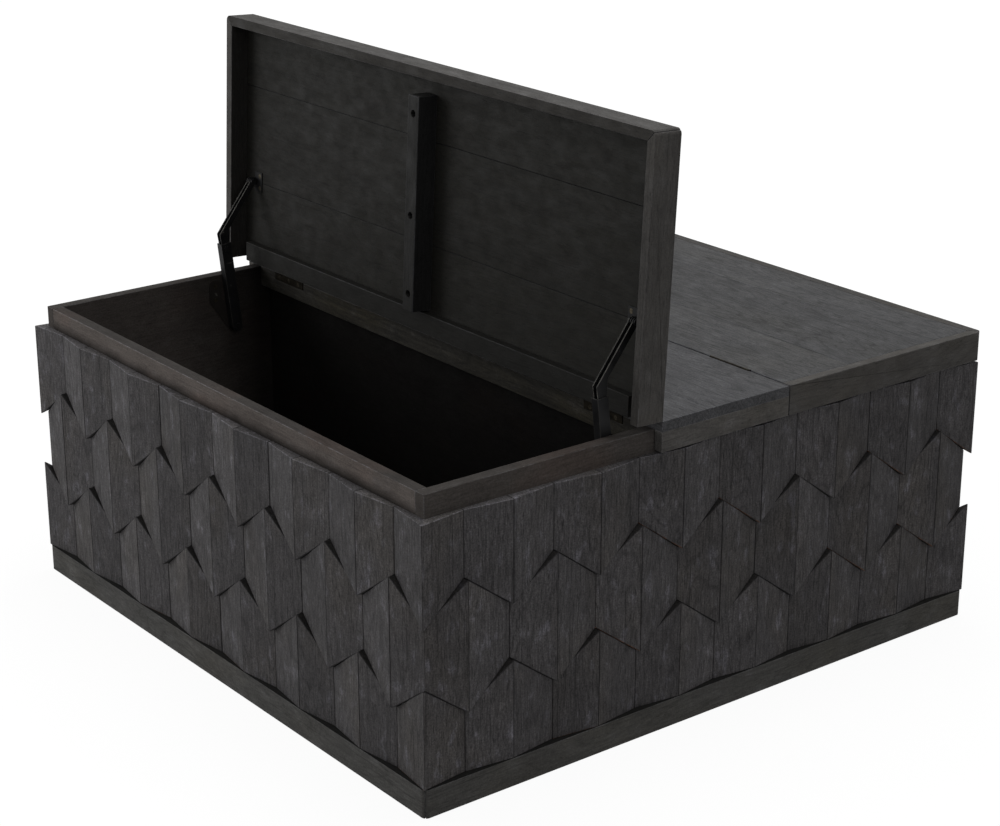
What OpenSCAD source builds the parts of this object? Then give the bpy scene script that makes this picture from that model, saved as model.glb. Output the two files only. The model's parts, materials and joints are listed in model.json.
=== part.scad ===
// Square trunk coffee table: a clad box on a plinth, with two lids hinged to a fixed centre panel.
// X runs along the front, Y from front to rear, Z up; the origin is the middle of the base.
// The front lid is drawn open and the rear lid closed.

/* [Top] */
// Width of the top, left to right
top_w = 1016; // [900:4:1240]
// Depth of the top, front to rear
top_d = 1016; // [940:4:1240]
// Height of the closed table
table_h = 455; // [430:1:540]
// Thickness of the top planks
plank_t = 15; // [13:0.5:18]
// Width of the fixed centre panel between the two hinge lines
centre_d = 234; // [200:2:300]
// Distance from the centre line to the joint of the centre panel's two planks
centre_joint = 31; // [10:1:60]
// Thickness of the bands round the edge of the top
band_t = 15; // [13:0.5:20]
// Height of the bands, plank included
band_h = 44; // [38:0.5:55]
// Radius of the top's corners in plan
top_corner_r = 8; // [3:0.5:12]
// Distance from the hinge line to the first joint between lid planks
lid_joint_1 = 130; // [100:1:145]
// Distance from the hinge line to the second joint between lid planks
lid_joint_2 = 282; // [240:1:300]

/* [Box] */
// Thickness of the four walls
wall_t = 18; // [15:0.5:24]
// Thickness of the bottom panel
bottom_t = 12; // [9:0.5:16]
// Height of the bottom panel's underside above the floor
bottom_z = 20; // [8:1:40]
// Depth of the grooves in the walls that hold the bottom panel
groove_d = 6; // [4:0.5:9]
// Thickness of the two partitions
partition_t = 18; // [12:0.5:24]
// Thickness of the aprons under the centre panel
apron_t = 15; // [13:0.5:20]
// Height of the aprons
apron_h = 32; // [29:0.5:50]

/* [Cladding] */
// Number of ridges across each face
ridges = 7; // [5:1:9]
// Thickness of the cladding at a ridge, and of the plinth
tile_t = 16; // [12:0.5:17]
// Depth of a groove below the ridges
relief = 9.5; // [5:0.5:10.5]
// Height of the plinth
plinth_h = 41; // [30:1:55]
// Radius of the plinth's corners in plan
plinth_corner_r = 8; // [2:0.5:11]
// Height from the plinth to the lowest points of the first zigzag
first_row_h = 89; // [70:1:100]
// Height from one row of points to the next
row_pitch = 132; // [110:1:140]
// Height of the zigzag between two rows
zigzag_rise = 53; // [20:1:60]

/* [Lids] */
// Angle at which the front lid is drawn
front_open = 93; // [0:1:93]
// Width of the hinge rail under each lid
hinge_rail_w = 30; // [24:1:36]
// Thickness of the hinge rail
hinge_rail_t = 14; // [13:0.5:20]
// Width of the batten under each lid
batten_w = 25; // [18:1:40]
// Depth of the batten
batten_t = 33; // [20:0.5:36]
// Radius of the holes that sink the batten's screws
batten_bore_r = 5.5; // [5:0.5:7]
// Depth of the holes that sink the batten's screws
batten_bore = 8; // [4:0.5:12]
// Distance from a batten's end to its nearest screw
batten_screw_inset = 26; // [15:1:40]
// Share of the way between a batten's end screws at which its middle screw lies
batten_mid = 0.44; // [0.3:0.01:0.7]

/* [Hinges] */
// Distance from the side of the top to the middle of a hinge
hinge_inset = 120; // [90:1:160]
// Length of a hinge
hinge_len = 80; // [60:1:90]
// Width of a hinge leaf, from the pin down
leaf_w = 25; // [22:0.5:27]
// Thickness of a hinge leaf
leaf_t = 1.6; // [1.2:0.1:2]
// Radius of the hinge barrel
barrel_r = 3; // [2.6:0.1:3.4]
// Radius of the hinge pin
pin_r = 1.5; // [1.2:0.1:1.7]
// Depth of the hinge axis below the top
axis_drop = 1.5; // [1.2:0.1:1.8]

/* [Lid stays] */
// Distance from the hinge line out to the stay's pivot on the wall
base_out = 55; // [50:1:60]
// Depth of the wall pivot below the hinge axis
base_drop = 101; // [92:1:110]
// Distance from the hinge line out to the stay's pivot on the lid
lid_out = 131; // [125:1:145]
// Width of the lower arm
lower_w = 18; // [16:1:22]
// Depth of the lower arm from one of its plates to the other
lower_depth = 13; // [11:0.5:15]
// Length of the lower arm beyond the knee's pivot
knee_lap = 9; // [8:0.5:12]
// Width of the upper arm
upper_w = 10; // [8:0.5:11.5]
// Distance from the knee's pivot to the upper arm's bend, along the arm
bend_in = 16.5; // [14:0.5:20]
// Distance from the knee's pivot to the upper arm's bend, across the arm
bend_out = 21; // [18:0.5:22]
// Thickness of the stay's sheet metal
sheet_t = 1.5; // [1:0.1:2]
// Radius of the stay's rivets
rivet_r = 3; // [2.5:0.1:3.5]
// Radius of a rivet's head
rivet_head_r = 5; // [4.2:0.1:6]
// Width of the wall plate
wall_plate_w = 22; // [18:1:24]
// Distance from the hinge line out to the wall plate's screws
wall_screw_out = 86; // [80:1:92]
// Depth of the wall plate's upper screw below the hinge axis
wall_screw_drop = 32; // [28:1:36]
// Distance between the wall plate's screws
wall_screw_pitch = 23; // [18:1:28]
// Length of the lid plate along the arm's plane
lid_plate_len = 32; // [30:1:40]
// Width of the lid plate across the arm's plane
lid_plate_w = 20; // [17:1:26]
// Distance between the lid plate's screws
lid_screw_pitch = 19; // [14:1:22]

/* [Fits] */
// Width of the seam between a lid and the centre panel
seam = 2; // [1.6:0.1:2.4]
// Gap between a hinge's two leaves, lid closed
leaf_gap = 0.4; // [0.2:0.1:0.6]
// Gap between the bands and the walls that they pass
band_gap = 2; // [1:0.5:4]
// Gap between the bands and the top of the cladding
cladding_gap = 3.5; // [2:0.5:6]
// Gap between the closed lid and the rim that it rests on
rest_gap = 0.3; // [0.2:0.1:1]
// Gap between boards that lie side by side
board_gap = 0.4; // [0.2:0.1:0.8]
// Gap between the inside of the walls and the ends of the hinge rail
rail_gap = 3; // [2:0.5:6]
// Gap between the hinge rail and the batten
batten_gap = 3; // [1:0.5:10]
// Gap between the batten's end and the wall that it passes
batten_end_gap = 6; // [4:0.5:12]
// Radial clearance round pins, rivets and screws
fit = 0.05; // [0.03:0.01:0.1]
// Radial clearance round the rivet in the lid plate
open_pivot_fit = 0.2; // [0.15:0.01:0.3]
// Gap between layers of the stays and between hinge knuckles
layer_gap = 0.3; // [0.2:0.05:0.5]
// Gap between the upper arm's round end and the lid plate
arm_end_gap = 0.6; // [0.4:0.1:3]
// Gap between the upper arm's tail and the lower arm's web
tail_gap = 1; // [0.6:0.1:1.5]
// Gap round the hinge barrel and leaves in the wood
recess_gap = 0.5; // [0.3:0.05:0.6]

/* [Hidden] */
$fn = 48;

// Small sizes that no other size depends on
eps = 1;
screw_len = 12;
screw_r = 1.75;
screw_head_r = 3.6;
batten_screw_r = 2.2;
batten_screw_head_r = 4.5;
batten_screw_bite = 9;
knuckles = 5;
rivet_wall = 3;
head_t = 2;
plate_edge = 2;
arc_steps = 12;

// Half sizes of the top, of the walls' outer faces, of the ridges and of the inside
half_w = top_w / 2;
half_d = top_d / 2;
outer_x = half_w - band_t - band_gap;
outer_y = half_d - band_t - band_gap;
ridge_x = outer_x + tile_t;
ridge_y = outer_y + tile_t;
inner_x = outer_x - wall_t;
inner_y = outer_y - wall_t;

// Heights
underside_z = table_h - plank_t;
rim_z = underside_z - rest_gap;
band_z = table_h - band_h;
cladding_z = band_z - cladding_gap;
axis_z = table_h - axis_drop;

// Hinge line and lid, with u out from the hinge axis and w up from it
hinge_y = centre_d / 2;
centre_edge = hinge_y - seam / 2;
lid_u0 = seam / 2;
lid_u1 = half_d - hinge_y;
lid_inner_u = lid_u1 - band_t;
plank_w0 = axis_drop - plank_t;
rail_w0 = plank_w0 - hinge_rail_t;
batten_w0 = plank_w0 - batten_t;
batten_u0 = lid_u0 + hinge_rail_w + batten_gap;
batten_u1 = inner_y - hinge_y - batten_end_gap;
seam_chamfer = seam / 2;

// Hinge
hinge_x = half_w - hinge_inset;
knuckle_len = hinge_len / knuckles;
leaf_u0 = leaf_gap / 2;
leaf_u1 = leaf_u0 + leaf_t;
leaf_top = -(barrel_r + layer_gap);
leaf_screw_w = (plank_w0 - leaf_w) / 2;

// Stay layers, as distances from the inside of the wall; the upper arm runs inside the lower arm
arm_out = sheet_t + layer_gap;
lower_far = arm_out + lower_depth;
upper_near = arm_out + sheet_t + layer_gap;
upper_far = lower_far - sheet_t - layer_gap;
ear_out = (upper_near + upper_far - sheet_t) / 2;
plate_screw_out = ear_out + lid_plate_w - screw_head_r - plate_edge;

// Stay pivots in the lid's frame: wall pivot, and lid pivot with the lid closed
end_r = rivet_r + rivet_wall;
base_pivot = [base_out, -base_drop];
lid_drop = sheet_t + arm_end_gap + end_r - plank_w0;
lid_pivot = [lid_out, -lid_drop];
lower_len = norm(lid_pivot);
upper_len = norm(base_pivot);
lower_rest = atan2(lid_pivot[1], lid_pivot[0]);
upper_turn = atan2(-base_pivot[1], -base_pivot[0]);

// Outline of the upper arm, with the knee's pivot at [0, 0] and the lid's pivot at [upper_len, 0]
tail_r = lower_w / 2 - sheet_t - tail_gap;
bend = [bend_in, -bend_out];
upper_run = ([upper_len, -upper_w / 2] - bend) / norm([upper_len, -upper_w / 2] - bend);
upper_side = [-upper_run[1], upper_run[0]];
rear_bend = bend + lower_w * upper_run + upper_w * upper_side;
upper_slope = atan2(upper_run[1], upper_run[0]);
front_half = upper_w / 2 * upper_run[0];
rear_half = upper_w - front_half;

// Where the knee lies with the lid open at an angle
function knee(angle) = base_pivot + lower_len * [cos(lower_rest + angle), sin(lower_rest + angle)];

// Angle at which the straight line from a point touches a circle round [0, 0], on one side or the other
function touch(p, r, side) = atan2(p[1], p[0]) + side * acos(r / norm(p));

// Points along an arc
function arc(centre, r, from, to) =
  [for (i = [0:arc_steps]) let (a = from + (to - from) * i / arc_steps) centre + r * [cos(a), sin(a)]];

// Wave that rises from 0 to 1 and falls back over two strips
function wave(t) = 1 - abs(t - 2 * floor(t / 2) - 1);

// Places a lid's pieces, drawn closed and out from the hinge axis, on the rear or the front
module rear_frame(angle) {
  translate([0, hinge_y, axis_z])
    rotate([angle, 0, 0])
      children();
}

module front_frame(angle) {
  mirror([0, 1, 0])
    rear_frame(angle)
      children();
}

// Repeats its children on the right and, mirrored, on the left
module both_sides() {
  children();
  mirror([1, 0, 0])
    children();
}

// A block with its four upright corners rounded, standing on z = 0
module round_block(w, d, h, r) {
  translate([-w / 2 + r, -d / 2, 0])
    cube([w - 2 * r, d, h]);
  translate([-w / 2, -d / 2 + r, 0])
    cube([w, d - 2 * r, h]);
  for (sx = [-1, 1], sy = [-1, 1])
    translate([sx * (w / 2 - r), sy * (d / 2 - r), 0])
      cylinder(h = h, r = r);
}

// A block between two corners
module block(low, high) {
  translate(low)
    cube(high - low);
}

// Square to the step from one point to the next, one long
function normal(from, to) =
  let (run = (to - from) / norm(to - from))
  [-run[1], run[0]];

// The place beside a point of a bent strip, on its mitre
function beside(points, i, r) =
  let (
    last = len(points) - 1,
    before = normal(points[max(i, 1) - 1], points[max(i, 1)]),
    after = normal(points[min(i, last - 1)], points[min(i, last - 1) + 1])
  )
  points[i] + r * (before + after) / (1 + before * after);

// An outline in the plane across X, given a thickness
module flat_plate(outline, x0, thickness) {
  translate([x0, 0, 0])
    rotate([90, 0, 90])
      linear_extrude(thickness)
        polygon(outline);
}

// A round-ended plate in the plane across X, which follows a few points
module link_plate(points, r, x0, thickness) {
  last = len(points) - 1;
  for (p = [points[0], points[last]])
    cross_bar(p, r, x0, x0 + thickness);
  flat_plate(
    concat(
      [for (i = [0:last]) beside(points, i, r)],
      [for (i = [last:-1:0]) beside(points, i, -r)]
    ),
    x0, thickness
  );
}

// A round bar across X at a point
module cross_bar(p, r, x0, x1) {
  translate([x0, p[0], p[1]])
    rotate([0, 90, 0])
      cylinder(h = x1 - x0, r = r);
}

// A countersunk screw with its head's face at z = 0, pointing down; grow widens and lengthens it
module screw(len, r, head_r, grow) {
  translate([0, 0, -len - grow])
    cylinder(h = len + grow, r = r + grow);
  translate([0, 0, -(head_r - r)])
    cylinder(h = head_r - r, r1 = r + grow, r2 = head_r + grow);
}

// Box

// One board of the plinth, mitred at both ends, for a face of the given length and distance
module plinth_board(length, distance) {
  linear_extrude(plinth_h)
    polygon([
      [-length / 2, -distance],
      [length / 2, -distance],
      [length / 2 - tile_t, -distance + tile_t],
      [-length / 2 + tile_t, -distance + tile_t]
    ]);
}

module plinth_outline() {
  translate([0, 0, -eps])
    round_block(2 * ridge_x, 2 * ridge_y, plinth_h + 2 * eps, plinth_corner_r);
}

module plinth_piece(turn, length, distance) {
  color([0.19, 0.19, 0.18])
    intersection() {
      rotate([0, 0, turn])
        plinth_board(length, distance);
      plinth_outline();
    }
}

module plinth_front() {
  plinth_piece(0, 2 * ridge_x, ridge_y);
}

module plinth_right() {
  plinth_piece(90, 2 * ridge_y, ridge_x);
}

module plinth_rear() {
  plinth_piece(180, 2 * ridge_x, ridge_y);
}

module plinth_left() {
  plinth_piece(270, 2 * ridge_y, ridge_x);
}

module bottom_solid() {
  block(
    [-inner_x - groove_d, -inner_y - groove_d, bottom_z],
    [inner_x + groove_d, inner_y + groove_d, bottom_z + bottom_t]
  );
}

module bottom_panel() {
  color([0.05, 0.05, 0.05])
    bottom_solid();
}

// The front and rear walls fit between the side walls
module end_wall() {
  difference() {
    block([-inner_x, -outer_y, 0], [inner_x, -inner_y, rim_z]);
    bottom_solid();
  }
}

module side_wall() {
  difference() {
    block([inner_x, -outer_y, 0], [outer_x, outer_y, rim_z]);
    bottom_solid();
    for (dir = [0, 1])
      mirror([0, dir, 0])
        translate([inner_x, 0, 0])
          rear_frame(0)
            wall_plate_screws(fit);
  }
}

module wall_front() {
  color([0.07, 0.07, 0.07])
    end_wall();
}

module wall_rear() {
  color([0.07, 0.07, 0.07])
    mirror([0, 1, 0])
      end_wall();
}

module wall_right() {
  color([0.07, 0.07, 0.07])
    side_wall();
}

module wall_left() {
  color([0.07, 0.07, 0.07])
    mirror([1, 0, 0])
      side_wall();
}

// The partitions stand on the bottom panel right behind the aprons
module partition_rear() {
  color([0.05, 0.05, 0.05])
    block(
      [-inner_x, centre_edge - apron_t - partition_t, bottom_z + bottom_t],
      [inner_x, centre_edge - apron_t, underside_z]
    );
}

module partition_front() {
  mirror([0, 1, 0])
    partition_rear();
}

// Cladding

// Depth of the face below the ridges at a place along the face; the middle row is out of step
function groove_depth(u, strip, row) =
  let (t = wave(u / strip))
  relief * (row == 1 ? 1 - t : t);

// Height of the zigzag above a row at a place along the face
function zigzag(u, strip, row) =
  let (t = wave(u / strip))
  plinth_h + first_row_h + row * row_pitch + zigzag_rise * (row == 0 ? 1 - t : t);

function row_low(u, strip, row) = row == 0 ? plinth_h : zigzag(u, strip, row - 1) + board_gap / 2;

function row_high(u, strip, row) = row == 2 ? cladding_z : zigzag(u, strip, row) - board_gap / 2;

// One tapered strip: its plan is a wedge, mitred at the face's ends, and its ends follow the zigzags
module strip_piece(k, row, strip, length) {
  first = k == 0;
  last = k == 2 * ridges - 1;
  mitre = row == 1 ? relief / (1 + relief / strip) : 0;
  u0 = first ? 0 : k * strip + board_gap / 2;
  u1 = last ? length : (k + 1) * strip - board_gap / 2;
  start = first ? [[tile_t, tile_t], [mitre, mitre]] : [[u0, tile_t], [u0, groove_depth(u0, strip, row)]];
  end = last
    ? [[length - mitre, mitre], [length - tile_t, tile_t]]
    : [[u1, groove_depth(u1, strip, row)], [u1, tile_t]];
  intersection() {
    linear_extrude(table_h)
      polygon(concat(start, end));
    translate([0, tile_t + eps, 0])
      rotate([90, 0, 0])
        linear_extrude(tile_t + 2 * eps)
          polygon([
            [u0, row_low(u0, strip, row)],
            [u1, row_low(u1, strip, row)],
            [u1, row_high(u1, strip, row)],
            [u0, row_high(u0, strip, row)]
          ]);
  }
}

module cladding_face(turn, length, distance) {
  strip = length / (2 * ridges);
  color([0.24, 0.24, 0.24])
    rotate([0, 0, turn])
      translate([-length / 2, -distance, 0])
        for (row = [0:2], k = [0:2 * ridges - 1])
          strip_piece(k, row, strip, length);
}

module cladding_front() {
  cladding_face(0, 2 * ridge_x, ridge_y);
}

module cladding_right() {
  cladding_face(90, 2 * ridge_y, ridge_x);
}

module cladding_rear() {
  cladding_face(180, 2 * ridge_x, ridge_y);
}

module cladding_left() {
  cladding_face(270, 2 * ridge_y, ridge_x);
}

// Centre panel

// What both hinges of one lid take out of the wood on either side of the seam
module hinge_recess() {
  length = hinge_len + 2 * recess_gap;
  both_sides()
    translate([hinge_x - length / 2, 0, 0]) {
      rotate([0, 90, 0])
        cylinder(h = length, r = barrel_r + recess_gap);
      block([0, -leaf_u1, -leaf_w - recess_gap], [length, leaf_u1, 0]);
    }
}

// Chamfer along the top edges of the seam
module seam_groove() {
  rotate([90, 0, 90])
    linear_extrude(2 * half_w + 2 * eps, center = true)
      polygon([
        [0, axis_drop - seam_chamfer - seam / 2],
        [seam / 2 + seam_chamfer + eps, axis_drop + eps],
        [-seam / 2 - seam_chamfer - eps, axis_drop + eps]
      ]);
}

// What the two seams and their hinges take out of the centre panel and its aprons
module seam_cuts(grow) {
  for (dir = [0, 1])
    mirror([0, dir, 0])
      rear_frame(0) {
        hinge_recess();
        seam_groove();
        mirror([0, 1, 0])
          leaf_screws(grow);
      }
}

module centre_planks() {
  color([0.31, 0.31, 0.31])
    difference() {
      block([-half_w, -centre_edge, underside_z], [half_w, centre_edge, table_h]);
      block([-half_w - eps, -centre_joint - board_gap / 2, underside_z - eps],
        [half_w + eps, -centre_joint + board_gap / 2, table_h + eps]);
      seam_cuts(fit);
    }
}

module centre_band_right() {
  color([0.19, 0.18, 0.18])
    block([half_w - band_t, -centre_edge, band_z], [half_w, centre_edge, underside_z]);
}

module centre_band_left() {
  mirror([1, 0, 0])
    centre_band_right();
}

module centre_apron_rear() {
  color([0.22, 0.17, 0.14])
    difference() {
      block([-inner_x, centre_edge - apron_t, underside_z - apron_h], [inner_x, centre_edge, underside_z]);
      seam_cuts(fit);
    }
}

module centre_apron_front() {
  mirror([0, 1, 0])
    centre_apron_rear();
}

// Lids, drawn closed

// The lid's outline in plan, with the top's two outer corners
module lid_outline() {
  translate([0, -hinge_y, batten_w0 - band_h])
    round_block(2 * half_w, 2 * half_d, 2 * band_h + batten_t, top_corner_r);
}

module lid_planks() {
  joints = [lid_u0 - board_gap / 2, lid_joint_1, lid_joint_2, lid_inner_u + board_gap / 2];
  color([0.15, 0.15, 0.14])
    difference() {
      for (i = [0:2])
        block([-half_w + band_t, joints[i] + board_gap / 2, plank_w0],
          [half_w - band_t, joints[i + 1] - board_gap / 2, axis_drop]);
      hinge_recess();
      seam_groove();
      batten_screw_set(fit);
      lid_plate_screws(fit);
    }
}

// One band along the lid's free edge, mitred into the stiles
module lid_edge_rail() {
  color([0.22, 0.22, 0.22])
    intersection() {
      translate([0, 0, axis_drop - band_h])
        linear_extrude(band_h)
          polygon([
            [-half_w, lid_u1],
            [half_w, lid_u1],
            [half_w - band_t, lid_inner_u],
            [-half_w + band_t, lid_inner_u]
          ]);
      lid_outline();
    }
}

module lid_stile() {
  color([0.19, 0.18, 0.18])
    difference() {
      intersection() {
        translate([0, 0, axis_drop - band_h])
          linear_extrude(band_h)
            polygon([
              [half_w - band_t, lid_u0],
              [half_w, lid_u0],
              [half_w, lid_u1],
              [half_w - band_t, lid_inner_u]
            ]);
        lid_outline();
      }
      seam_groove();
    }
}

module lid_hinge_rail() {
  color([0.15, 0.15, 0.14])
    difference() {
      block([-inner_x + rail_gap, lid_u0, rail_w0], [inner_x - rail_gap, lid_u0 + hinge_rail_w, plank_w0]);
      hinge_recess();
      leaf_screws(fit);
    }
}

module lid_batten() {
  color([0.15, 0.15, 0.14])
    difference() {
      block([-batten_w / 2, batten_u0, batten_w0], [batten_w / 2, batten_u1, plank_w0]);
      batten_screw_set(fit);
      at_batten_screws()
        translate([0, 0, -eps])
          cylinder(h = batten_bore + eps, r = batten_bore_r);
    }
}

module at_batten_screws() {
  first = batten_u0 + batten_screw_inset;
  run = batten_u1 - batten_screw_inset - first;
  for (share = [0, batten_mid, 1])
    translate([0, first + share * run, batten_w0])
      children();
}

// Screws sunk into the batten, which run up into the planks
module batten_screw_set(grow) {
  at_batten_screws()
    translate([0, 0, batten_bore])
      rotate([180, 0, 0])
        screw(batten_t - batten_bore + batten_screw_bite, batten_screw_r, batten_screw_head_r, grow);
}

module lid_batten_screws() {
  color([0.05, 0.05, 0.05])
    batten_screw_set(0);
}

// Hinges

// One leaf on the lid's side of the seam; first is the first of its own knuckles
module hinge_leaf(first) {
  difference() {
    union() {
      block([-hinge_len / 2, leaf_u0, -leaf_w], [hinge_len / 2, leaf_u1, leaf_top]);
      for (i = [first:2:knuckles - 1])
        translate([-hinge_len / 2 + i * knuckle_len + layer_gap / 2, 0, 0]) {
          block([0, leaf_u0, leaf_top - eps], [knuckle_len - layer_gap, leaf_u1, 0]);
          rotate([0, 90, 0])
            cylinder(h = knuckle_len - layer_gap, r = barrel_r);
        }
    }
    translate([-hinge_len / 2 - eps, 0, 0])
      rotate([0, 90, 0])
        cylinder(h = hinge_len + 2 * eps, r = pin_r + fit);
    translate([-hinge_x, 0, 0])
      leaf_screws(fit);
  }
}

// Three screws through each leaf of one lid's hinges
module leaf_screws(grow) {
  both_sides()
    for (i = [-1, 0, 1])
      translate([hinge_x + i * hinge_len / 3, leaf_u0, leaf_screw_w])
        rotate([90, 0, 0])
          screw(screw_len, screw_r, leaf_t + screw_r, grow);
}

module lid_leaves() {
  color([0.55, 0.45, 0.25])
    both_sides()
      translate([hinge_x, 0, 0])
        hinge_leaf(1);
}

module fixed_leaves() {
  color([0.55, 0.45, 0.25])
    both_sides()
      translate([hinge_x, 0, 0])
        mirror([0, 1, 0])
          hinge_leaf(0);
}

module hinge_pins() {
  color([0.6, 0.5, 0.3])
    both_sides()
      translate([hinge_x - hinge_len / 2, 0, 0])
        rotate([0, 90, 0])
          cylinder(h = hinge_len, r = pin_r);
}

// Lid stays, drawn with x = 0 at the inside of the right wall and -x into the box

module wall_plate_screws(grow) {
  for (i = [0, 1])
    translate([-sheet_t, wall_screw_out, -wall_screw_drop - i * wall_screw_pitch])
      rotate([0, -90, 0])
        screw(screw_len, screw_r, screw_head_r, grow);
}

module wall_plate() {
  r = wall_plate_w / 2;
  upper = [wall_screw_out, -wall_screw_drop];
  lower = [wall_screw_out, -wall_screw_drop - wall_screw_pitch];
  color([0.07, 0.07, 0.07])
    difference() {
      link_plate([upper, lower, base_pivot], r, -sheet_t, sheet_t);
      cross_bar(base_pivot, rivet_r + fit, -sheet_t - eps, eps);
      wall_plate_screws(fit);
    }
}

// The rivet at the wall runs through both plates of the lower arm
module base_rivet() {
  seat = lower_far + layer_gap;
  color([0.12, 0.12, 0.12]) {
    cross_bar(base_pivot, rivet_r, -seat, 0);
    cross_bar(base_pivot, rivet_head_r, -seat - head_t, -seat);
  }
}

// Two like plates at the near and the far side of an arm
module plate_pair(outline, near, far) {
  flat_plate(outline, -near - sheet_t, sheet_t);
  flat_plate(outline, -far, sheet_t);
}

// The lower arm is a channel with its web in front and a square end, and carries the knee's rivet
module lower_arm(angle) {
  r = lower_w / 2;
  end = lower_len + knee_lap;
  color([0.08, 0.08, 0.08])
    translate([0, base_pivot[0], base_pivot[1]])
      rotate([lower_rest + angle, 0, 0]) {
        difference() {
          union() {
            plate_pair([[0, -r], [end, -r], [end, r], [0, r]], arm_out, lower_far);
            cross_bar([0, 0], r, -arm_out - sheet_t, -arm_out);
            cross_bar([0, 0], r, -lower_far, -lower_far + sheet_t);
            block([-lower_far, 0, -r], [-arm_out, end, -r + sheet_t]);
          }
          cross_bar([0, 0], rivet_r + fit, -lower_far - eps, eps);
        }
        cross_bar([lower_len, 0], rivet_r, -lower_far, -arm_out);
        cross_bar([lower_len, 0], rivet_head_r, -lower_far - head_t, -lower_far);
      }
}

// The upper arm is a narrower channel that opens forward, and keeps its slope as the lid moves
module upper_arm(angle) {
  at = knee(angle);
  tail = arc([0, 0], tail_r, touch(rear_bend, tail_r, 1), 360 + touch(bend, tail_r, -1));
  end = arc([upper_len, 0], end_r,
    upper_slope - 180 + asin(front_half / end_r), upper_slope + 180 - asin(rear_half / end_r));
  web_len = (upper_len - rear_bend[0]) / upper_run[0] - end_r - head_t;
  web_tip = rear_bend + web_len * upper_run;
  web = [rear_bend, web_tip, web_tip - sheet_t * upper_side, rear_bend - sheet_t * upper_side];
  color([0.08, 0.08, 0.08])
    translate([0, at[0], at[1]])
      rotate([upper_turn, 0, 0])
        difference() {
          union() {
            plate_pair(concat([bend], end, [rear_bend], tail), upper_near, upper_far);
            flat_plate(web, -upper_far, upper_far - upper_near);
          }
          cross_bar([0, 0], rivet_r + fit, -upper_far - eps, eps);
          cross_bar([upper_len, 0], rivet_r + open_pivot_fit, -upper_far - eps, eps);
        }
}

// The lid plate is screwed under the planks and has an ear that stands between the upper arm's plates
module lid_plate() {
  y0 = lid_out - lid_plate_len / 2;
  color([0.08, 0.08, 0.08])
    translate([inner_x, 0, 0])
      difference() {
        union() {
          block([-ear_out - lid_plate_w, y0, plank_w0 - sheet_t], [-ear_out, y0 + lid_plate_len, plank_w0]);
          cross_bar(lid_pivot, end_r, -ear_out - sheet_t, -ear_out);
          block([-ear_out - sheet_t, lid_out - end_r, -lid_drop], [-ear_out, lid_out + end_r, plank_w0]);
        }
        cross_bar(lid_pivot, rivet_r + fit, -ear_out - sheet_t - eps, eps - ear_out);
        translate([-inner_x, 0, 0])
          lid_plate_screws(fit);
      }
}

module lid_plate_screws(grow) {
  both_sides()
    for (i = [-1, 1])
      translate([inner_x - plate_screw_out, lid_out + i * lid_screw_pitch / 2, plank_w0 - sheet_t])
        rotate([180, 0, 0])
          screw(screw_len, screw_r, screw_head_r, grow);
}

module lid_rivet() {
  near = upper_near - layer_gap;
  far = upper_far + layer_gap;
  color([0.12, 0.12, 0.12])
    translate([inner_x, 0, 0]) {
      cross_bar(lid_pivot, rivet_r, -far, -near);
      cross_bar(lid_pivot, rivet_head_r, -far - head_t, -far);
      cross_bar(lid_pivot, rivet_head_r, -near, -near + head_t);
    }
}

module stay_at(side) {
  mirror([side == "left" ? 1 : 0, 0, 0])
    translate([inner_x, 0, 0])
      children();
}

module stay_wall_plates() {
  for (side = ["left", "right"])
    stay_at(side)
      wall_plate();
}

module stay_base_rivets() {
  for (side = ["left", "right"]) {
    front_frame(0)
      stay_at(side)
        base_rivet();
    rear_frame(0)
      stay_at(side)
        base_rivet();
  }
}

// Screws

module fixed_screws() {
  mirror([0, 1, 0])
    leaf_screws(0);
  for (side = ["left", "right"])
    stay_at(side)
      wall_plate_screws(0);
}

module body_screws() {
  color([0.5, 0.45, 0.3]) {
    front_frame(0)
      fixed_screws();
    rear_frame(0)
      fixed_screws();
  }
}

module lid_screws() {
  color([0.5, 0.45, 0.3]) {
    leaf_screws(0);
    lid_plate_screws(0);
  }
}

// Sub-parts in their places

module front_lid_planks() {
  front_frame(front_open)
    lid_planks();
}

module front_lid_edge_rail() {
  front_frame(front_open)
    lid_edge_rail();
}

module front_lid_right_stile() {
  front_frame(front_open)
    lid_stile();
}

module front_lid_left_stile() {
  front_frame(front_open)
    mirror([1, 0, 0])
      lid_stile();
}

module front_lid_hinge_rail() {
  front_frame(front_open)
    lid_hinge_rail();
}

module front_lid_batten() {
  front_frame(front_open)
    lid_batten();
}

module front_lid_batten_screws() {
  front_frame(front_open)
    lid_batten_screws();
}

module rear_lid_planks() {
  rear_frame(0)
    lid_planks();
}

module rear_lid_edge_rail() {
  rear_frame(0)
    lid_edge_rail();
}

module rear_lid_right_stile() {
  rear_frame(0)
    lid_stile();
}

module rear_lid_left_stile() {
  rear_frame(0)
    mirror([1, 0, 0])
      lid_stile();
}

module rear_lid_hinge_rail() {
  rear_frame(0)
    lid_hinge_rail();
}

module rear_lid_batten() {
  rear_frame(0)
    lid_batten();
}

module rear_lid_batten_screws() {
  rear_frame(0)
    lid_batten_screws();
}

module front_hinge_fixed_leaves() {
  front_frame(0)
    fixed_leaves();
}

module front_hinge_lid_leaves() {
  front_frame(front_open)
    lid_leaves();
}

module front_hinge_pins() {
  front_frame(0)
    hinge_pins();
}

module rear_hinge_fixed_leaves() {
  rear_frame(0)
    fixed_leaves();
}

module rear_hinge_lid_leaves() {
  rear_frame(0)
    lid_leaves();
}

module rear_hinge_pins() {
  rear_frame(0)
    hinge_pins();
}

module front_stay_wall_plates() {
  front_frame(0)
    stay_wall_plates();
}

module front_stay_lid_plates() {
  front_frame(front_open)
    both_sides()
      lid_plate();
}

module front_stay_lid_rivets() {
  front_frame(front_open)
    both_sides()
      lid_rivet();
}

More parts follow.
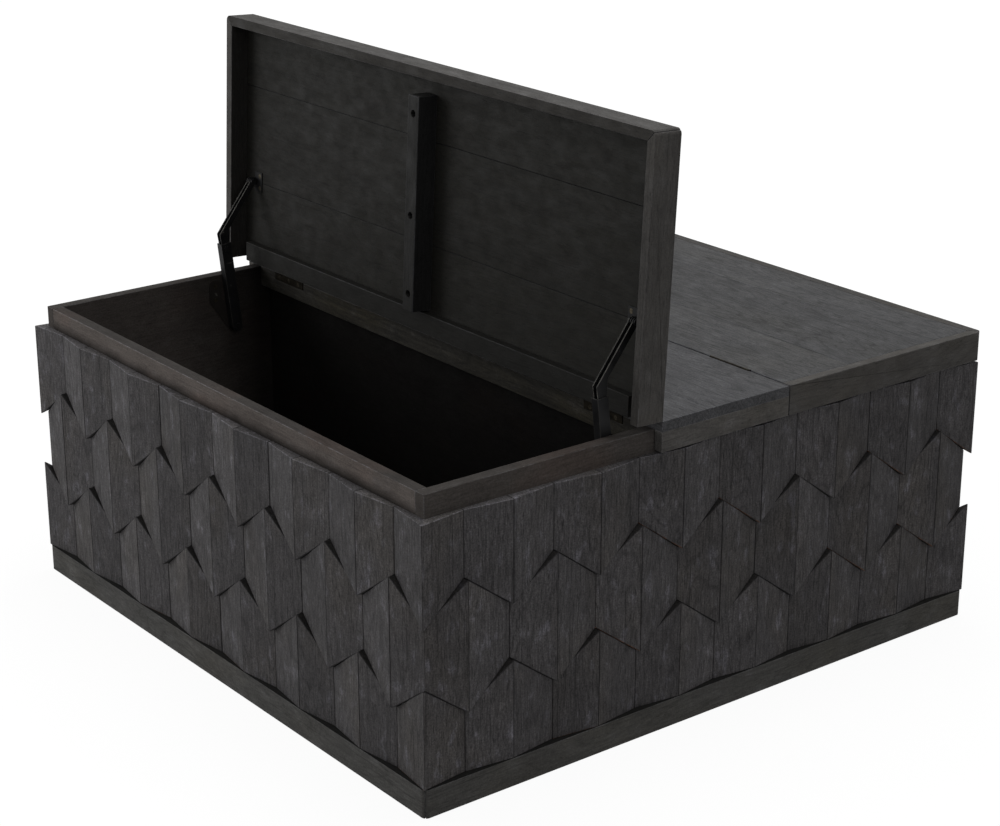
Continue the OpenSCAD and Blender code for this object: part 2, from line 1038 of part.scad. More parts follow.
module rear_stay_wall_plates() {
  rear_frame(0)
    stay_wall_plates();
}

module rear_stay_lid_plates() {
  rear_frame(0)
    both_sides()
      lid_plate();
}

module rear_stay_lid_rivets() {
  rear_frame(0)
    both_sides()
      lid_rivet();
}

module front_right_lower_arm() {
  front_frame(0)
    stay_at("right")
      lower_arm(front_open);
}

module front_left_lower_arm() {
  front_frame(0)
    stay_at("left")
      lower_arm(front_open);
}

module rear_right_lower_arm() {
  rear_frame(0)
    stay_at("right")
      lower_arm(0);
}

module rear_left_lower_arm() {
  rear_frame(0)
    stay_at("left")
      lower_arm(0);
}

module front_right_upper_arm() {
  front_frame(0)
    stay_at("right")
      upper_arm(front_open);
}

module front_left_upper_arm() {
  front_frame(0)
    stay_at("left")
      upper_arm(front_open);
}

module rear_right_upper_arm() {
  rear_frame(0)
    stay_at("right")
      upper_arm(0);
}

module rear_left_upper_arm() {
  rear_frame(0)
    stay_at("left")
      upper_arm(0);
}

module front_lid_screws() {
  front_frame(front_open)
    lid_screws();
}

module rear_lid_screws() {
  rear_frame(0)
    lid_screws();
}

plinth_front();
plinth_right();
plinth_rear();
plinth_left();
wall_front();
wall_right();
wall_rear();
wall_left();
bottom_panel();
partition_front();
partition_rear();
cladding_front();
cladding_right();
cladding_rear();
cladding_left();
centre_planks();
centre_band_right();
centre_band_left();
centre_apron_front();
centre_apron_rear();
front_lid_planks();
front_lid_edge_rail();
front_lid_right_stile();
front_lid_left_stile();
front_lid_hinge_rail();
front_lid_batten();
front_lid_batten_screws();
rear_lid_planks();
rear_lid_edge_rail();
rear_lid_right_stile();
rear_lid_left_stile();
rear_lid_hinge_rail();
rear_lid_batten();
rear_lid_batten_screws();
front_hinge_fixed_leaves();
front_hinge_lid_leaves();
front_hinge_pins();
rear_hinge_fixed_leaves();
rear_hinge_lid_leaves();
rear_hinge_pins();
front_stay_wall_plates();
front_stay_lid_plates();
front_stay_lid_rivets();
rear_stay_wall_plates();
rear_stay_lid_plates();
rear_stay_lid_rivets();
stay_base_rivets();
front_right_lower_arm();
front_left_lower_arm();
rear_right_lower_arm();
rear_left_lower_arm();
front_right_upper_arm();
front_left_upper_arm();
rear_right_upper_arm();
rear_left_upper_arm();
body_screws();
front_lid_screws();
rear_lid_screws();
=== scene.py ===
import json
import math
import random

import bmesh
import bpy
from mathutils import Matrix, Vector

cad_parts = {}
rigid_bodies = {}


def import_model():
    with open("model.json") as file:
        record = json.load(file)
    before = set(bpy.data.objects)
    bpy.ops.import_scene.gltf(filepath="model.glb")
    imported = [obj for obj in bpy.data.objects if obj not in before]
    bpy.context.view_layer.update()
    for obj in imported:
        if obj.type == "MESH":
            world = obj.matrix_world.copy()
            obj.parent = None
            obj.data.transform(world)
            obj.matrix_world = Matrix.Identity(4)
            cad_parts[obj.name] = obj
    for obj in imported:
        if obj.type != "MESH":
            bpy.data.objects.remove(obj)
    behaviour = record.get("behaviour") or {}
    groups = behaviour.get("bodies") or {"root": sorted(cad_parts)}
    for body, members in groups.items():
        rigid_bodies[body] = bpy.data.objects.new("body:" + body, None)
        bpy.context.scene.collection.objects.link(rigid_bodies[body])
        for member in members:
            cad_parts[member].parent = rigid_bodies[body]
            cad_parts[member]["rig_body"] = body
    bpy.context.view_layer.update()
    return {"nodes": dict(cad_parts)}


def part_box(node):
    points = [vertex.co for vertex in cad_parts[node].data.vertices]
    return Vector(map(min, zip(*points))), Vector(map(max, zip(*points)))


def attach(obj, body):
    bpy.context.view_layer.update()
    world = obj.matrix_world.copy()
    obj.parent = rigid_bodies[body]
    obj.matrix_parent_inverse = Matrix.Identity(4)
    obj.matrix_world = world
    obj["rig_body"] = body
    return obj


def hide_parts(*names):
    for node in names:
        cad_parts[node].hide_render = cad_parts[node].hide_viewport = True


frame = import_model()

NODES = frame["nodes"]
MM = 0.001

X, Y, Z = Vector((1, 0, 0)), Vector((0, 1, 0)), Vector((0, 0, 1))
SIDES = {"front": -Y, "right": X, "rear": Y, "left": -X}
ENDS = ("front", "rear")
WHITE = (1, 1, 1, 1)

# The front lid stands open and leans back a little past upright, and the rear lid is closed
LEAN = math.radians(3)
LID_OUT = {"front": Vector((0, math.sin(LEAN), math.cos(LEAN))), "rear": Y}
LID_DOWN = {"front": Vector((0, -math.cos(LEAN), math.sin(LEAN))), "rear": -Z}

# Camera: where it stands, and its turn about Z, its tilt and its roll
CAMERA_PLACE = (2.6376, -2.0402, 1.5102)
CAMERA_TURN = math.radians(52.155)
CAMERA_TILT = math.radians(20.0165)
CAMERA_ROLL = math.radians(-0.051)
SENSOR_MM = 36.0
LENS_MM = 83.832

# Where the lamps point, how far the floor reaches, and how bright floor and background are
TABLE_MIDDLE = Vector((0, 0, 0.3))
FLOOR_REACH = 30.0
FLOOR_GLOW = 1.04
BACKGROUND_LIGHT = 0.29

# Meshes: how close two points count as one, how close to a solid's end a point counts as on it, how
# flat an edge is dropped, and from which length and which turn on an edge is softened
WELD = 0.002 * MM
HAIR = 0.01 * MM
FLAT_EDGE = math.radians(0.4)
SHORTEST_EDGE = 4 * MM
SHARP_EDGE = math.radians(22)

# How many degrees the wood's grain turns at random, how many metres of wood there are to cut from,
# and how much darker gaps are painted, as the shade between solids
GRAIN_LEAN = 1.5
GRAIN_SHIFT = 40
GAP_DARKER = 0.45

# The cosine from which on a face counts as one of a board's own faces
OWN_FACE = 0.97

# Noise over the wood: how often it changes in a metre along the grain and across it. RINGS is how
# many lines of growth there are to one change of their field.
FIBRES = (48, 430, 430)
STREAKS = (4, 90, 90)
RING_FIELD = (2.4, 15, 15)
RINGS = 150.0
CRACKS = (4, 330, 330)
PORES = (75, 640, 640)
TINTS = (5, 8, 8)
WEAR_AND_SHEEN_SPOTS = (30, 55, 55)

# Tints: pale stain, as wear and as painted sheen, bare wood, and a lighter brown for black steel
PALE_WEAR_AND_SHEEN = (1.9, 1.93, 2.1)
BARE_WOOD = (172, 118, 82)
STEEL_BROWN_TINT = (3.6, 3.1, 2.6)


def place_camera():
    data = bpy.data.cameras.new("camera")
    data.sensor_width = SENSOR_MM
    data.lens = LENS_MM
    camera = bpy.data.objects.new("camera", data)
    bpy.context.scene.collection.objects.link(camera)
    level = math.cos(CAMERA_TILT)
    back = Vector((math.sin(CAMERA_TURN) * level, -math.cos(CAMERA_TURN) * level, math.sin(CAMERA_TILT)))
    right = Vector((math.cos(CAMERA_TURN), math.sin(CAMERA_TURN), 0))
    turn = Matrix((right, back.cross(right), back)).transposed().to_4x4()
    camera.matrix_world = Matrix.Translation(CAMERA_PLACE) @ turn @ Matrix.Rotation(CAMERA_ROLL, 4, "Z")
    bpy.context.scene.camera = camera


def linear(red, green, blue):
    """A colour as it looks on a screen, from 0 to 255, as the shader's own numbers."""

    def one(value):
        value /= 255
        return value / 12.92 if value <= 0.04045 else ((value + 0.055) / 1.055) ** 2.4

    return (one(red), one(green), one(blue), 1.0)


def tinted(colour, by):
    return tuple(one * factor for one, factor in zip(colour, by)) + (1.0,)


class Graph:
    """The shader nodes of a material or of the world, put down one call at a time."""

    def __init__(self, owner, output="ShaderNodeOutputMaterial"):
        self.owner = owner
        self.output = output
        owner.use_nodes = True
        self.tree = owner.node_tree
        self.tree.nodes.clear()

    def put(self, kind, sockets=None, **settings):
        node = self.tree.nodes.new(kind)
        for key, value in settings.items():
            setattr(node, key, value)
        for key, value in (sockets or {}).items():
            self.set(node.inputs[key], value)
        return node

    def set(self, socket, value):
        if isinstance(value, bpy.types.NodeSocket):
            self.tree.links.new(value, socket)
        else:
            socket.default_value = value

    def attribute(self, name, output="Fac"):
        return self.put("ShaderNodeAttribute", attribute_name=name).outputs[output]

    def place(self):
        return self.put("ShaderNodeTexCoord").outputs["Object"]

    def stretched(self, vector, scale):
        node = self.put("ShaderNodeMapping", {"Vector": vector, "Scale": scale}, vector_type="POINT")
        return node.outputs["Vector"]

    def noise(self, vector, scale, detail, roughness):
        """Noise at one scale for all directions, or at a scale of its own for each."""
        if isinstance(scale, tuple):
            vector, scale = self.stretched(vector, scale), 1.0
        sockets = {"Vector": vector, "Scale": scale, "Detail": detail, "Roughness": roughness}
        return self.put("ShaderNodeTexNoise", sockets).outputs["Fac"]

    def calc(self, operation, first, second=0.0):
        return self.put("ShaderNodeMath", {0: first, 1: second}, operation=operation).outputs[0]

    def product(self, first, *others):
        for other in others:
            first = self.calc("MULTIPLY", first, other)
        return first

    def span(self, value, low, high, to_low=0.0, to_high=1.0):
        """The value's place between two numbers, stretched between two others and held there."""
        sockets = {"Value": value, "From Min": low, "From Max": high, "To Min": to_low, "To Max": to_high}
        return self.put("ShaderNodeMapRange", sockets).outputs["Result"]

    def less(self, share, by):
        """1 where the share is 0, and less by a part where the share is 1."""
        return self.span(share, 0.0, 1.0, 1.0, 1.0 - by)

    def mix(self, share, first, second, blend="MIX"):
        sockets = {0: share, 6: first, 7: second}
        return self.put("ShaderNodeMix", sockets, data_type="RGBA", blend_type=blend).outputs[2]

    def scaled(self, colour, factor):
        """A colour times a number."""
        grey = self.put("ShaderNodeCombineColor", {0: factor, 1: factor, 2: factor}).outputs[0]
        return self.mix(1.0, colour, grey, "MULTIPLY")

    def bump(self, strength, depth_mm, height):
        sockets = {"Strength": strength, "Distance": depth_mm * MM, "Height": height}
        return self.put("ShaderNodeBump", sockets).outputs[0]

    def mix_shaders(self, share, first, second):
        return self.put("ShaderNodeMixShader", {0: share, 1: first.outputs[0], 2: second.outputs[0]})

    def finish(self, shader):
        self.put(self.output, {"Surface": shader.outputs[0]})
        return self.owner

    def surface(self, **sockets):
        """The finished material with a principled surface."""
        named = {key.replace("_", " "): value for key, value in sockets.items()}
        return self.finish(self.put("ShaderNodeBsdfPrincipled", named))


def painted_inner_shade(g):
    """Painted light and shade on the inner faces: darker towards the partition, and lighter in the lower
    half.
    """
    place = g.put("ShaderNodeSeparateXYZ", {0: g.place()})
    low = g.span(place.outputs["Z"], 0.26, 0.44, 1.5, 1.0)
    deep = g.span(g.calc("ABSOLUTE", place.outputs["Y"]), 0.12, 0.3, 0.14, 1.0)
    inside = g.attribute("inside")
    return g.calc("ADD", g.product(low, deep, inside), g.calc("SUBTRACT", 1.0, inside))


def ledge_stain_and_shadow(g, clouds):
    """The dark, uneven line along a wall's outer face, just above the strips: partly stain and partly a
    painted contact shadow.
    """
    place = g.put("ShaderNodeSeparateXYZ", {0: g.place()})
    above = g.calc("SUBTRACT", place.outputs["Z"], g.attribute("ledge"))
    above = g.calc("ADD", above, g.span(clouds, 0.3, 0.7, -3 * MM, 3 * MM))
    return g.span(above, 1 * MM, 16 * MM, 0.2, 1.0)


def stained_wood(name, colour, warm=(1.08, 1.02, 0.88), pale_wear_and_sheen=0.3, olive=0.4, fibre=0.3, grit=0.3,
                 streak=0.1, pores=0.5, rings=0.28, cloud=0.16, matt=0.68, gloss=0.14, bare=False):
    """Open-pored wood under a dark, uneven stain, pale along the edges through wear and as a painted
    highlight.

    warm is the tint where brown wood shows through the stain, olive how far it shows in patches, and
    chalk how far patches turn pale, as wear and as painted sheen. fibre, streak, grit, cloud, pores and
    rings say how much each darkens or lightens the wood. bare wood may show along edges that are marked
    for it.
    """
    g = Graph(bpy.data.materials.new(name))
    grain = g.attribute("grain", "Vector")
    fibres = g.noise(grain, FIBRES, 3.0, 0.6)
    streaks = g.noise(grain, STREAKS, 3.0, 0.55)
    specks = g.noise(grain, 430.0, 2.0, 0.6)
    clouds = g.noise(grain, 13.0, 4.0, 0.6)
    ring = g.span(g.calc("SINE", g.product(g.noise(grain, RING_FIELD, 1.0, 0.4), RINGS)), 0.6, 1.0)
    crack = g.span(g.noise(grain, CRACKS, 1.0, 0.5), 0.66, 0.72)
    pore = g.span(g.noise(grain, PORES, 1.0, 0.5), 0.62, 0.7)
    tint = g.noise(grain, TINTS, 2.0, 0.5)
    wear_and_sheen_spots = g.noise(grain, WEAR_AND_SHEEN_SPOTS, 4.0, 0.6)
    wear_and_highlight_noise = g.noise(grain, 80.0, 4.0, 0.65)

    colour = linear(*colour)[:3]
    pale = tinted(colour, PALE_WEAR_AND_SHEEN)
    brown = g.calc("MAXIMUM", g.attribute("brown"), g.span(tint, 0.48, 0.66, 0.0, olive))
    stain = g.mix(brown, colour + (1.0,), tinted(colour, warm))
    # Pale patches: partly wear, partly painted sheen
    stain = g.mix(g.span(wear_and_sheen_spots, 0.58, 0.72, 0.0, pale_wear_and_sheen), stain, pale)
    # Pale softened edges: partly wear, partly a painted highlight
    stain = g.mix(g.product(g.attribute("edge"), g.span(wear_and_highlight_noise, 0.38, 0.6, 0.0, 0.7)), stain, pale)
    if bare:
        share = g.product(g.attribute("bare"), g.span(wear_and_highlight_noise, 0.4, 0.52))
        stain = g.mix(share, stain, linear(*BARE_WOOD))

    depth = g.product(g.calc("ADD", 1.0, g.attribute("tone")), g.attribute("shade"))
    for part, weight in ((fibres, fibre), (streaks, streak), (specks, grit), (clouds, cloud)):
        depth = g.product(depth, g.span(part, 0.3, 0.7, 1.0 - weight, 1.0 + weight))
    for part, weight in ((ring, rings), (crack, 0.8 * pores), (pore, pores)):
        depth = g.product(depth, g.less(part, weight))
    # Painted contact shadow above the strips, and painted light and shade on the inner faces
    depth = g.product(depth, ledge_stain_and_shadow(g, clouds), painted_inner_shade(g))

    height = g.calc("ADD", g.product(fibres, 0.6), g.product(specks, 0.4))
    height = g.calc("SUBTRACT", height, g.product(pore, 0.5))
    height = g.calc("ADD", height, g.product(streaks, 0.6))
    return g.surface(
        Base_Color=g.scaled(stain, depth),
        Roughness=g.span(wear_and_sheen_spots, 0.35, 0.7, matt + 0.08, matt - 0.1),
        Specular_IOR_Level=gloss,
        Normal=g.bump(0.45, 0.5, height),
    )


def painted_steel(name, colour, wear_and_highlight_colour, roughness):
    """Sheet steel under thin paint, lighter and browner where it is marked brown, with bright spots of
    wear and bright edges that are a painted highlight.
    """
    g = Graph(bpy.data.materials.new(name))
    patches = g.noise(g.place(), 60.0, 4.0, 0.6)
    grit = g.noise(g.place(), 900.0, 2.0, 0.5)
    # Spots of wear and the softened edges turn bright; on the edges this is a painted highlight
    edge = g.product(g.attribute("edge"), g.span(patches, 0.3, 0.6, 0.3, 1.0))
    wear_and_highlight = g.calc("MAXIMUM", g.span(patches, 0.66, 0.72), edge)
    shade = g.mix(g.span(patches, 0.35, 0.65), colour, tinted(colour[:3], (1.5, 1.5, 1.5)))
    # Lighter and browner where the brown mark is set
    shade = g.mix(g.attribute("brown"), shade, tinted(colour[:3], STEEL_BROWN_TINT))
    return g.surface(
        Base_Color=g.mix(wear_and_highlight, shade, wear_and_highlight_colour),
        Metallic=g.product(wear_and_highlight, 0.8),
        Specular_IOR_Level=0.15,
        Roughness=g.span(patches, 0.3, 0.7, roughness - 0.08, roughness + 0.1),
        Normal=g.bump(0.15, 0.3, grit),
    )


def old_metal(name, colour, tarnish, roughness):
    """Bare metal with a patchy tarnish."""
    g = Graph(bpy.data.materials.new(name))
    patches = g.noise(g.place(), 140.0, 4.0, 0.65)
    scratches = g.noise(g.place(), (60, 900, 900), 2.0, 0.5)
    return g.surface(
        Base_Color=g.mix(g.span(patches, 0.42, 0.62), colour, tarnish),
        Metallic=1.0,
        Roughness=g.span(scratches, 0.3, 0.7, roughness - 0.06, roughness + 0.16),
        Normal=g.bump(0.1, 0.2, scratches),
    )


# What sets each wood apart
WOODS = {
    "cladding_wood": dict(colour=(76, 74, 75), pale_wear_and_sheen=0.9, fibre=0.4, grit=0.42, pores=0.6, bare=True),
    "plinth_wood": dict(colour=(72, 71, 69), pale_wear_and_sheen=0.25, fibre=0.22, grit=0.24, pores=0.4, rings=0.2),
    "box_black": dict(
        colour=(74, 72, 70), warm=(1.22, 1.04, 0.98), pale_wear_and_sheen=0.15, olive=0.9, fibre=0.16, grit=0.2,
        streak=0.06, pores=0.25, rings=0.05, matt=0.8, gloss=0.06,
    ),
    "top_wood": dict(colour=(76, 76, 78), pale_wear_and_sheen=0.12, olive=0.1, fibre=0.26, grit=0.28, pores=0.5),
    "lid_wood": dict(
        colour=(74, 74, 75), warm=(1.08, 1.02, 0.8), pale_wear_and_sheen=0.12, olive=0.15, fibre=0.26, grit=0.28,
        pores=0.5, cloud=0.1,
    ),
    "band_wood": dict(colour=(73, 71, 69), pale_wear_and_sheen=0.25, fibre=0.18, grit=0.2, pores=0.35, rings=0.15),
    "apron_brown": dict(colour=(43, 41, 37), warm=(1.1, 1.03, 0.8), pale_wear_and_sheen=0.8, olive=0.8, streak=0.5),
}

MATERIALS = {name: stained_wood(name, **looks) for name, looks in WOODS.items()}
MATERIALS["stay_black"] = painted_steel("stay_black", linear(15, 15, 16), linear(105, 103, 98), 0.5)
MATERIALS["screw_black"] = painted_steel("screw_black", linear(24, 23, 23), linear(90, 86, 80), 0.5)
MATERIALS["screw_steel"] = old_metal("screw_steel", linear(78, 73, 62), linear(42, 38, 32), 0.42)
# The hinges are near black: partly tarnished brass, partly painted shade so that the slot they sit in
# looks dark
MATERIALS["hinge_brass"] = old_metal("hinge_brass", linear(42, 38, 31), linear(24, 22, 19), 0.5)


def solids_of(bm):
    """The separate solids of a mesh, as lists of vertices."""
    seen, found = set(), []
    for start in bm.verts:
        if start in seen:
            continue
        seen.add(start)
        group, front = [start], [start]
        while front:
            for edge in front.pop().link_edges:
                for vert in edge.verts:
                    if vert not in seen:
                        seen.add(vert)
                        group.append(vert)
                        front.append(vert)
        found.append(group)
    return found


def reach(group, axis):
    """Where a solid starts and ends along an axis."""
    along = [vert.co.dot(axis) for vert in group]
    return min(along), max(along)


def long_way(group):
    """The axis along which a solid is longest."""
    spans = []
    for axis in (X, Y, Z):
        low, high = reach(group, axis)
        spans.append((high - low, axis))
    return max(spans, key=lambda pair: pair[0])[1]


def close_seams(bm, axis):
    """Makes solids that lie a hair apart along an axis touch, so that no light falls between them."""
    spans = sorted(((*reach(group, axis), group) for group in solids_of(bm)), key=lambda span: span[0])
    for (_, high, first), (low, _, second) in zip(spans, spans[1:]):
        if low - high < MM:
            for group, limit in ((first, high), (second, low)):
                for vert in group:
                    place = vert.co.dot(axis)
                    if abs(place - limit) < HAIR:
                        vert.co += axis * ((low + high) / 2 - place)


def soften(bm, bevel):
    """Bevels the long outer edges, bevel in millimetres, and gives the new faces."""
    for face in bm.faces:
        face.smooth = False
    edges = [
        edge
        for edge in bm.edges
        if len(edge.link_faces) == 2
        and edge.is_convex
        and edge.calc_length() > SHORTEST_EDGE
        and edge.calc_face_angle() > SHARP_EDGE
    ]
    made = bmesh.ops.bevel(
        bm, geom=edges, offset=bevel * MM, segments=2, profile=0.5, affect="EDGES", clamp_overlap=False
    )
    bm.normal_update()
    for face in made["faces"]:
        face.smooth = True
    return made["faces"]


def mark_grain(bm, draw, marks, lines, grain, tone, sink, worn_share):
    """Gives each solid wood of its own: where its grain runs, how dark it is and whether its lower edges
    are bare.
    """
    for group in solids_of(bm):
        axis = grain or long_way(group)
        side = Z if abs(axis.z) < 0.5 else X
        turn = math.radians(draw.uniform(-GRAIN_LEAN, GRAIN_LEAN))
        along = (Matrix.Rotation(turn, 3, axis.cross(side)) @ axis).normalized()
        across = along.cross(side).normalized()
        up = along.cross(across)
        shift = Vector([draw.uniform(0, GRAIN_SHIFT) for _ in range(3)])
        depth = draw.uniform(-tone, tone)
        move = sink * draw.uniform(0, 1) if sink else Vector()
        worn_through = 1.0 if draw.random() < worn_share else 0.0
        for vert in group:
            vert[lines] = Vector((vert.co.dot(along), vert.co.dot(across), vert.co.dot(up))) + shift
            vert.co += move
            for face in vert.link_faces:
                face[marks["tone"]] = depth
                if face[marks["edge"]] and -0.9 < face.normal.z < -0.2:
                    face[marks["bare"]] = worn_through


def mark_gaps(bm, marks, gap, bevel):
    """Darkens the softened edges of solids that meet along an axis, as painted shade in the gap between
    them.
    """
    for group in solids_of(bm):
        low, high = reach(group, gap)
        for face in {face for vert in group for face in vert.link_faces if face[marks["edge"]]}:
            middle = face.calc_center_median().dot(gap)
            if min(middle - low, high - middle) < bevel * MM:
                face[marks["edge"]] = 0.0
                face[marks["tone"]] -= GAP_DARKER


def dress(name, slot, grain=None, bevel=1.0, shade=None, tone=0.08, sink=None, worn_share=0.0,
          gap=None, seam=None, ledge=-1.0, inner=None, wear_and_highlight=1.0, meet=None):
    """A copy of a CAD node with softened edges, and what its wood needs to know of each solid.

    grain: the axis that the wood's fibres follow, or None for each solid's longest one
    bevel: how far the edges are softened, in millimetres
    shade: gives from a face's normal and middle how light it is, 1 for the stain's own, and how brown
    tone: how much lighter or darker a solid may be than the others
    sink: each solid moves a little along this vector
    worn_share: so many of the solids show bare wood along their lower edges
    gap: the edges of solids that meet along this axis are painted dark, as the shade between them
    seam, ledge: the faces that look along seam have a dark line above this height, partly stain and
    partly painted contact shadow
    inner: the faces that look along this axis get painted shade, darker towards the partitions and
    lighter lower down
    rub: how far the edges show wear and a painted highlight
    meet: solids that are a hair apart along this axis are made to touch
    """
    source = NODES[name]
    bm = bmesh.new()
    bm.from_mesh(source.data)
    bmesh.ops.remove_doubles(bm, verts=bm.verts, dist=WELD)
    bmesh.ops.dissolve_limit(bm, angle_limit=FLAT_EDGE, verts=bm.verts, edges=bm.edges)
    if meet:
        close_seams(bm, meet)
    kinds = ("edge", "shade", "tone", "bare", "brown", "ledge", "inside")
    for kind in kinds:
        bm.faces.layers.float.new(kind)
    marks = {kind: bm.faces.layers.float[kind] for kind in kinds}
    lines = bm.verts.layers.float_vector.new("grain")
    for face in soften(bm, bevel):
        face[marks["edge"]] = wear_and_highlight
    mark_grain(bm, random.Random(name), marks, lines, grain, tone, sink, worn_share)
    if gap:
        mark_gaps(bm, marks, gap, bevel)
    for face in bm.faces:
        depth, brown = shade(face.normal, face.calc_center_median()) if shade else (1.0, 0.0)
        face[marks["shade"]], face[marks["brown"]] = depth, brown
        face[marks["ledge"]] = ledge if seam and face.normal.dot(seam) > 0.5 else -1.0
        face[marks["inside"]] = 1.0 if inner and face.normal.dot(inner) > 0.5 else 0.0
    mesh = bpy.data.meshes.new(name + "_dressed")
    bm.to_mesh(mesh)
    bm.free()
    piece = bpy.data.objects.new(name + "_dressed", mesh)
    bpy.context.scene.collection.objects.link(piece)
    mesh.materials.append(MATERIALS[slot])
    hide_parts(name)
    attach(piece, source["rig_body"])


def bare_metal(name, slot):
    """A CAD node that keeps its shape and gets its material."""
    mesh = NODES[name].data
    mesh.materials.clear()
    mesh.materials.append(MATERIALS[slot])


def plain(depth, brown=0.0):
    """A shade that is the same for every face."""
    return lambda normal, middle: (depth, brown)


def flat(normal):
    """Whether a face is one of a board's own faces, and not the softened edge between two."""
    return max(abs(part) for part in normal) > OWN_FACE


def plinth_shade(out):
    """A plinth board's shade: painted dark on top, as the shade under the overhanging strips, and dark
    inside.
    """

    def shade(normal, middle):
        return (0.13 if normal.z > 0.7 or normal.dot(out) < -0.5 else 1.0), 0.0

    return shade


def wall_shade(side):
    """A wall's shade: its inner face, the rim on top and the outer face are each stained differently, and
    some of them carry painted light.
    """
    # The inner faces are stained black, and the left wall's is painted much lighter, as the light that
    # falls on it
    inside = (0.85 if side == "left" else 0.1), 0.5
    # Painted highlight: the front and rear walls' outer faces are twice as light as the side walls'
    outside = (1.9, 0.5) if side in ENDS else (0.95, 0.35)

    def shade(normal, middle):
        if normal.dot(SIDES[side]) < -0.5:
            return inside
        return (0.72, 0.2) if normal.z > 0.5 else outside

    return shade


def strip_shade(top):
    """A strip's shade: its ends are painted light at the top of the cladding, as lit ledges, and painted
    dark below, as the shade where the strips overlap.
    """

    def shade(normal, middle):
        if abs(normal.z) < 0.3:
            return 1.0, 0.0
        return (1.25, 0.0) if middle.z > top - 10 * MM else (0.25, 0.4)

    return shade


def planks_shade(down):
    """A lid's planks: brown and dark underneath, with seams painted darker as the shade between the
    planks, and plain above.
    """

    def shade(normal, middle):
        facing = normal.dot(down)
        if facing > OWN_FACE:
            return 0.118, 1.0
        return (0.03, 1.0) if facing > 0.2 else (0.86, 0.0)

    return shade


def rail_shade(down, out):
    """A lid's front band: dark on its inner face and less so underneath."""

    def shade(normal, middle):
        if normal.dot(out) < -0.5:
            return 0.25, 0.3
        return (0.4, 0.4) if normal.dot(down) > OWN_FACE else (0.72, 0.0)

    return shade


def stile_shade(side):
    """A lid's side band: dark on its inner face."""

    def shade(normal, middle):
        return (0.25, 0.3) if normal.dot(-SIDES[side]) > 0.5 else (1.05, 0.0)

    return shade


def hinge_rail_shade(normal, middle):
    # The softened edges are far lighter than the faces: partly wear, partly painted highlight
    return (0.11 if flat(normal) else 0.4), 0.8


def batten_shade(normal, middle):
    # Painted highlight on the softened edges; the sides are painted a little darker than the face, as
    # shade beside the planks
    if not flat(normal):
        return 0.4, 0.2
    return (0.14, 0.0) if abs(normal.x) > 0.5 else (0.19, 0.3)


def dress_trunk():
    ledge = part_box("cladding_front")[1][2]
    for side, out in SIDES.items():
        horizontal = X if side in ENDS else Y
        seam = out if side in ENDS else None
        dress("plinth_" + side, "plinth_wood", horizontal, 1.2, plinth_shade(out))
        dress("wall_" + side, "box_black", horizontal, 1.0, wall_shade(side), seam=seam, ledge=ledge,
              inner=-out)
        dress("cladding_" + side, "cladding_wood", Z, 0.9, strip_shade(ledge), tone=0.16,
              sink=-0.8 * MM * out, worn_share=0.2, gap=horizontal)
    dress("bottom_panel", "box_black", X, 0.8, plain(0.15))
    for end in ENDS:
        dress("partition_" + end, "box_black", X, 0.8, plain(0.38, 0.3), inner=SIDES[end])
    dress("centre_planks", "top_wood", X, 0.5, meet=Y)
    for side in ("right", "left"):
        dress("centre_band_" + side, "band_wood", Y, 0.8, plain(1.3))
    for end in ENDS:
        dress("centre_apron_" + end, "apron_brown", X, 0.8)
    bare_metal("stay_base_rivets", "stay_black")
    bare_metal("body_screws", "screw_steel")


def dress_lid(end):
    down, out = LID_DOWN[end], LID_OUT[end]
    lid = end + "_lid_"
    dress(lid + "planks", "lid_wood", X, 0.8, planks_shade(down), meet=out)
    dress(lid + "edge_rail", "band_wood", X, 1.0, rail_shade(down, out))
    for side in ("right", "left"):
        dress(lid + side + "_stile", "band_wood", out, 1.0, stile_shade(side))
    dress(lid + "hinge_rail", "lid_wood", X, 0.8, hinge_rail_shade)
    dress(lid + "batten", "lid_wood", out, 1.0, batten_shade)
    bare_metal(lid + "screws", "screw_steel")
    bare_metal(lid + "batten_screws", "screw_black")


def dress_metal(end):
    for kind in ("fixed_leaves", "lid_leaves", "pins"):
        bare_metal(end + "_hinge_" + kind, "hinge_brass")
    dress(end + "_stay_wall_plates", "stay_black", Z, 0.3, plain(1.0, 1.0), wear_and_highlight=0.0)
    for kind in ("lid_plates", "lid_rivets"):
        bare_metal(end + "_stay_" + kind, "stay_black")
    for side in ("right", "left"):
        # How bright each arm's softened edges are: wear and painted highlight
        for half, wear_and_highlight in (("lower", 0.35), ("upper", 1.0)):
            dress(f"{end}_{side}_{half}_arm", "stay_black", Z, 0.3, wear_and_highlight=wear_and_highlight)


def seen_by(g, *rays):
    """1 for what these kinds of ray meet, and 0 for the light that falls on things."""
    path = g.put("ShaderNodeLightPath")
    seen = path.outputs[f"Is {rays[0]} Ray"]
    for ray in rays[1:]:
        seen = g.calc("MAXIMUM", seen, path.outputs[f"Is {ray} Ray"])
    return seen


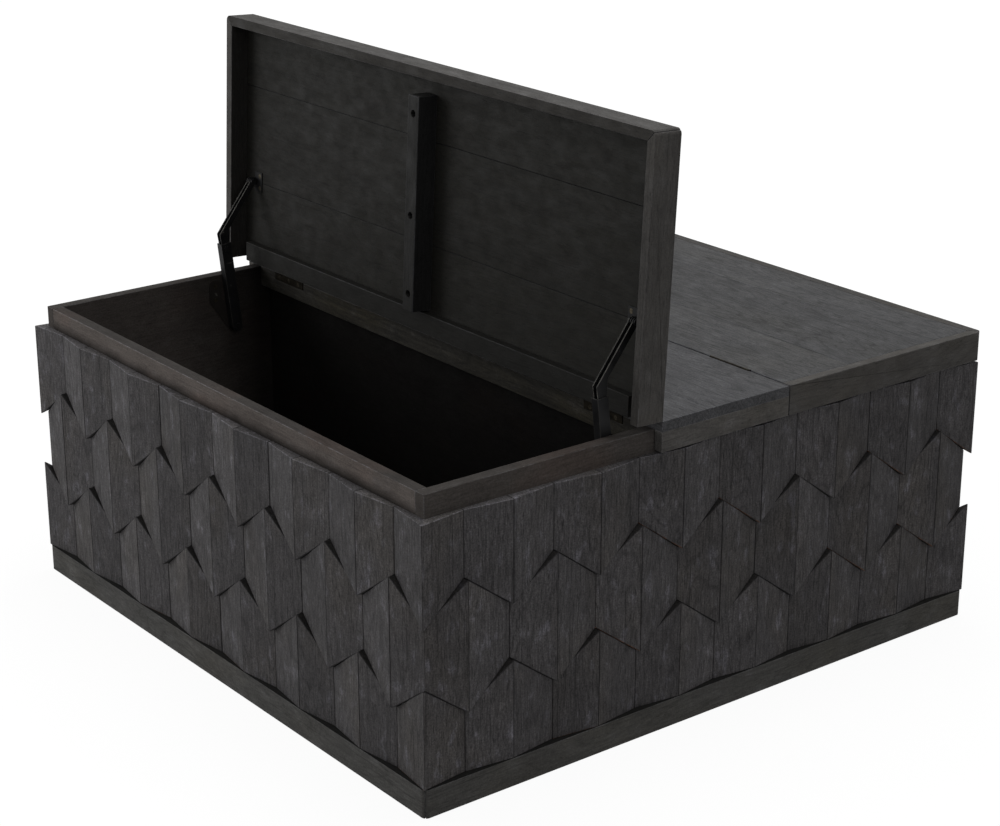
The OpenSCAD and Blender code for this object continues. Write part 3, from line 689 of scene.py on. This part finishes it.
def make_world():
    """A background that looks white and gives off little light."""
    world = bpy.data.worlds.new("studio")
    bpy.context.scene.world = world
    g = Graph(world, "ShaderNodeOutputWorld")
    dim = g.put("ShaderNodeBackground", {"Color": WHITE, "Strength": BACKGROUND_LIGHT})
    bright = g.put("ShaderNodeBackground", {"Color": WHITE, "Strength": 1.0})
    g.finish(g.mix_shaders(seen_by(g, "Camera", "Glossy", "Transmission"), dim, bright))


def make_floor():
    """A floor that looks white, with a faint shadow by the table, and throws little light back."""
    mesh = bpy.data.meshes.new("floor")
    turns = ((-1, -1), (1, -1), (1, 1), (-1, 1))
    mesh.from_pydata([(FLOOR_REACH * x, FLOOR_REACH * y, 0) for x, y in turns], [], [(0, 1, 2, 3)])
    floor = bpy.data.objects.new("floor", mesh)
    bpy.context.scene.collection.objects.link(floor)
    g = Graph(bpy.data.materials.new("floor"))
    matt = g.put("ShaderNodeBsdfDiffuse", {"Color": (0.3, 0.3, 0.3, 1)})
    pale = g.put("ShaderNodeBsdfDiffuse", {"Color": (0.9, 0.9, 0.9, 1)})
    glow = g.put("ShaderNodeEmission", {"Color": WHITE, "Strength": FLOOR_GLOW})
    away = g.put("ShaderNodeVectorMath", {0: g.place()}, operation="LENGTH").outputs["Value"]
    shown = g.mix_shaders(g.span(away, 0.75, 1.6, 0.9, 1.0), pale, glow)
    mesh.materials.append(g.finish(g.mix_shaders(seen_by(g, "Camera", "Glossy"), matt, shown)))


def soft_light(name, place, size, power):
    """A round lamp that points at the table."""
    data = bpy.data.lights.new(name, "AREA")
    data.shape = "DISK"
    data.size = size
    data.energy = power
    lamp = bpy.data.objects.new(name, data)
    bpy.context.scene.collection.objects.link(lamp)
    lamp.location = place
    lamp.rotation_mode = "QUATERNION"
    lamp.rotation_quaternion = (Vector(place) - TABLE_MIDDLE).to_track_quat("Z", "Y")


place_camera()
dress_trunk()
for end in ENDS:
    dress_lid(end)
    dress_metal(end)
make_world()
make_floor()
soft_light("overhead", (-0.1, 0.7, 4.2), 3.0, 80)
soft_light("left", (-3.1, -3.0, 1.6), 2.2, 56)
soft_light("right", (4.0, -1.5, 2.5), 2.4, 17)
bpy.context.scene.view_settings.view_transform = "Standard"
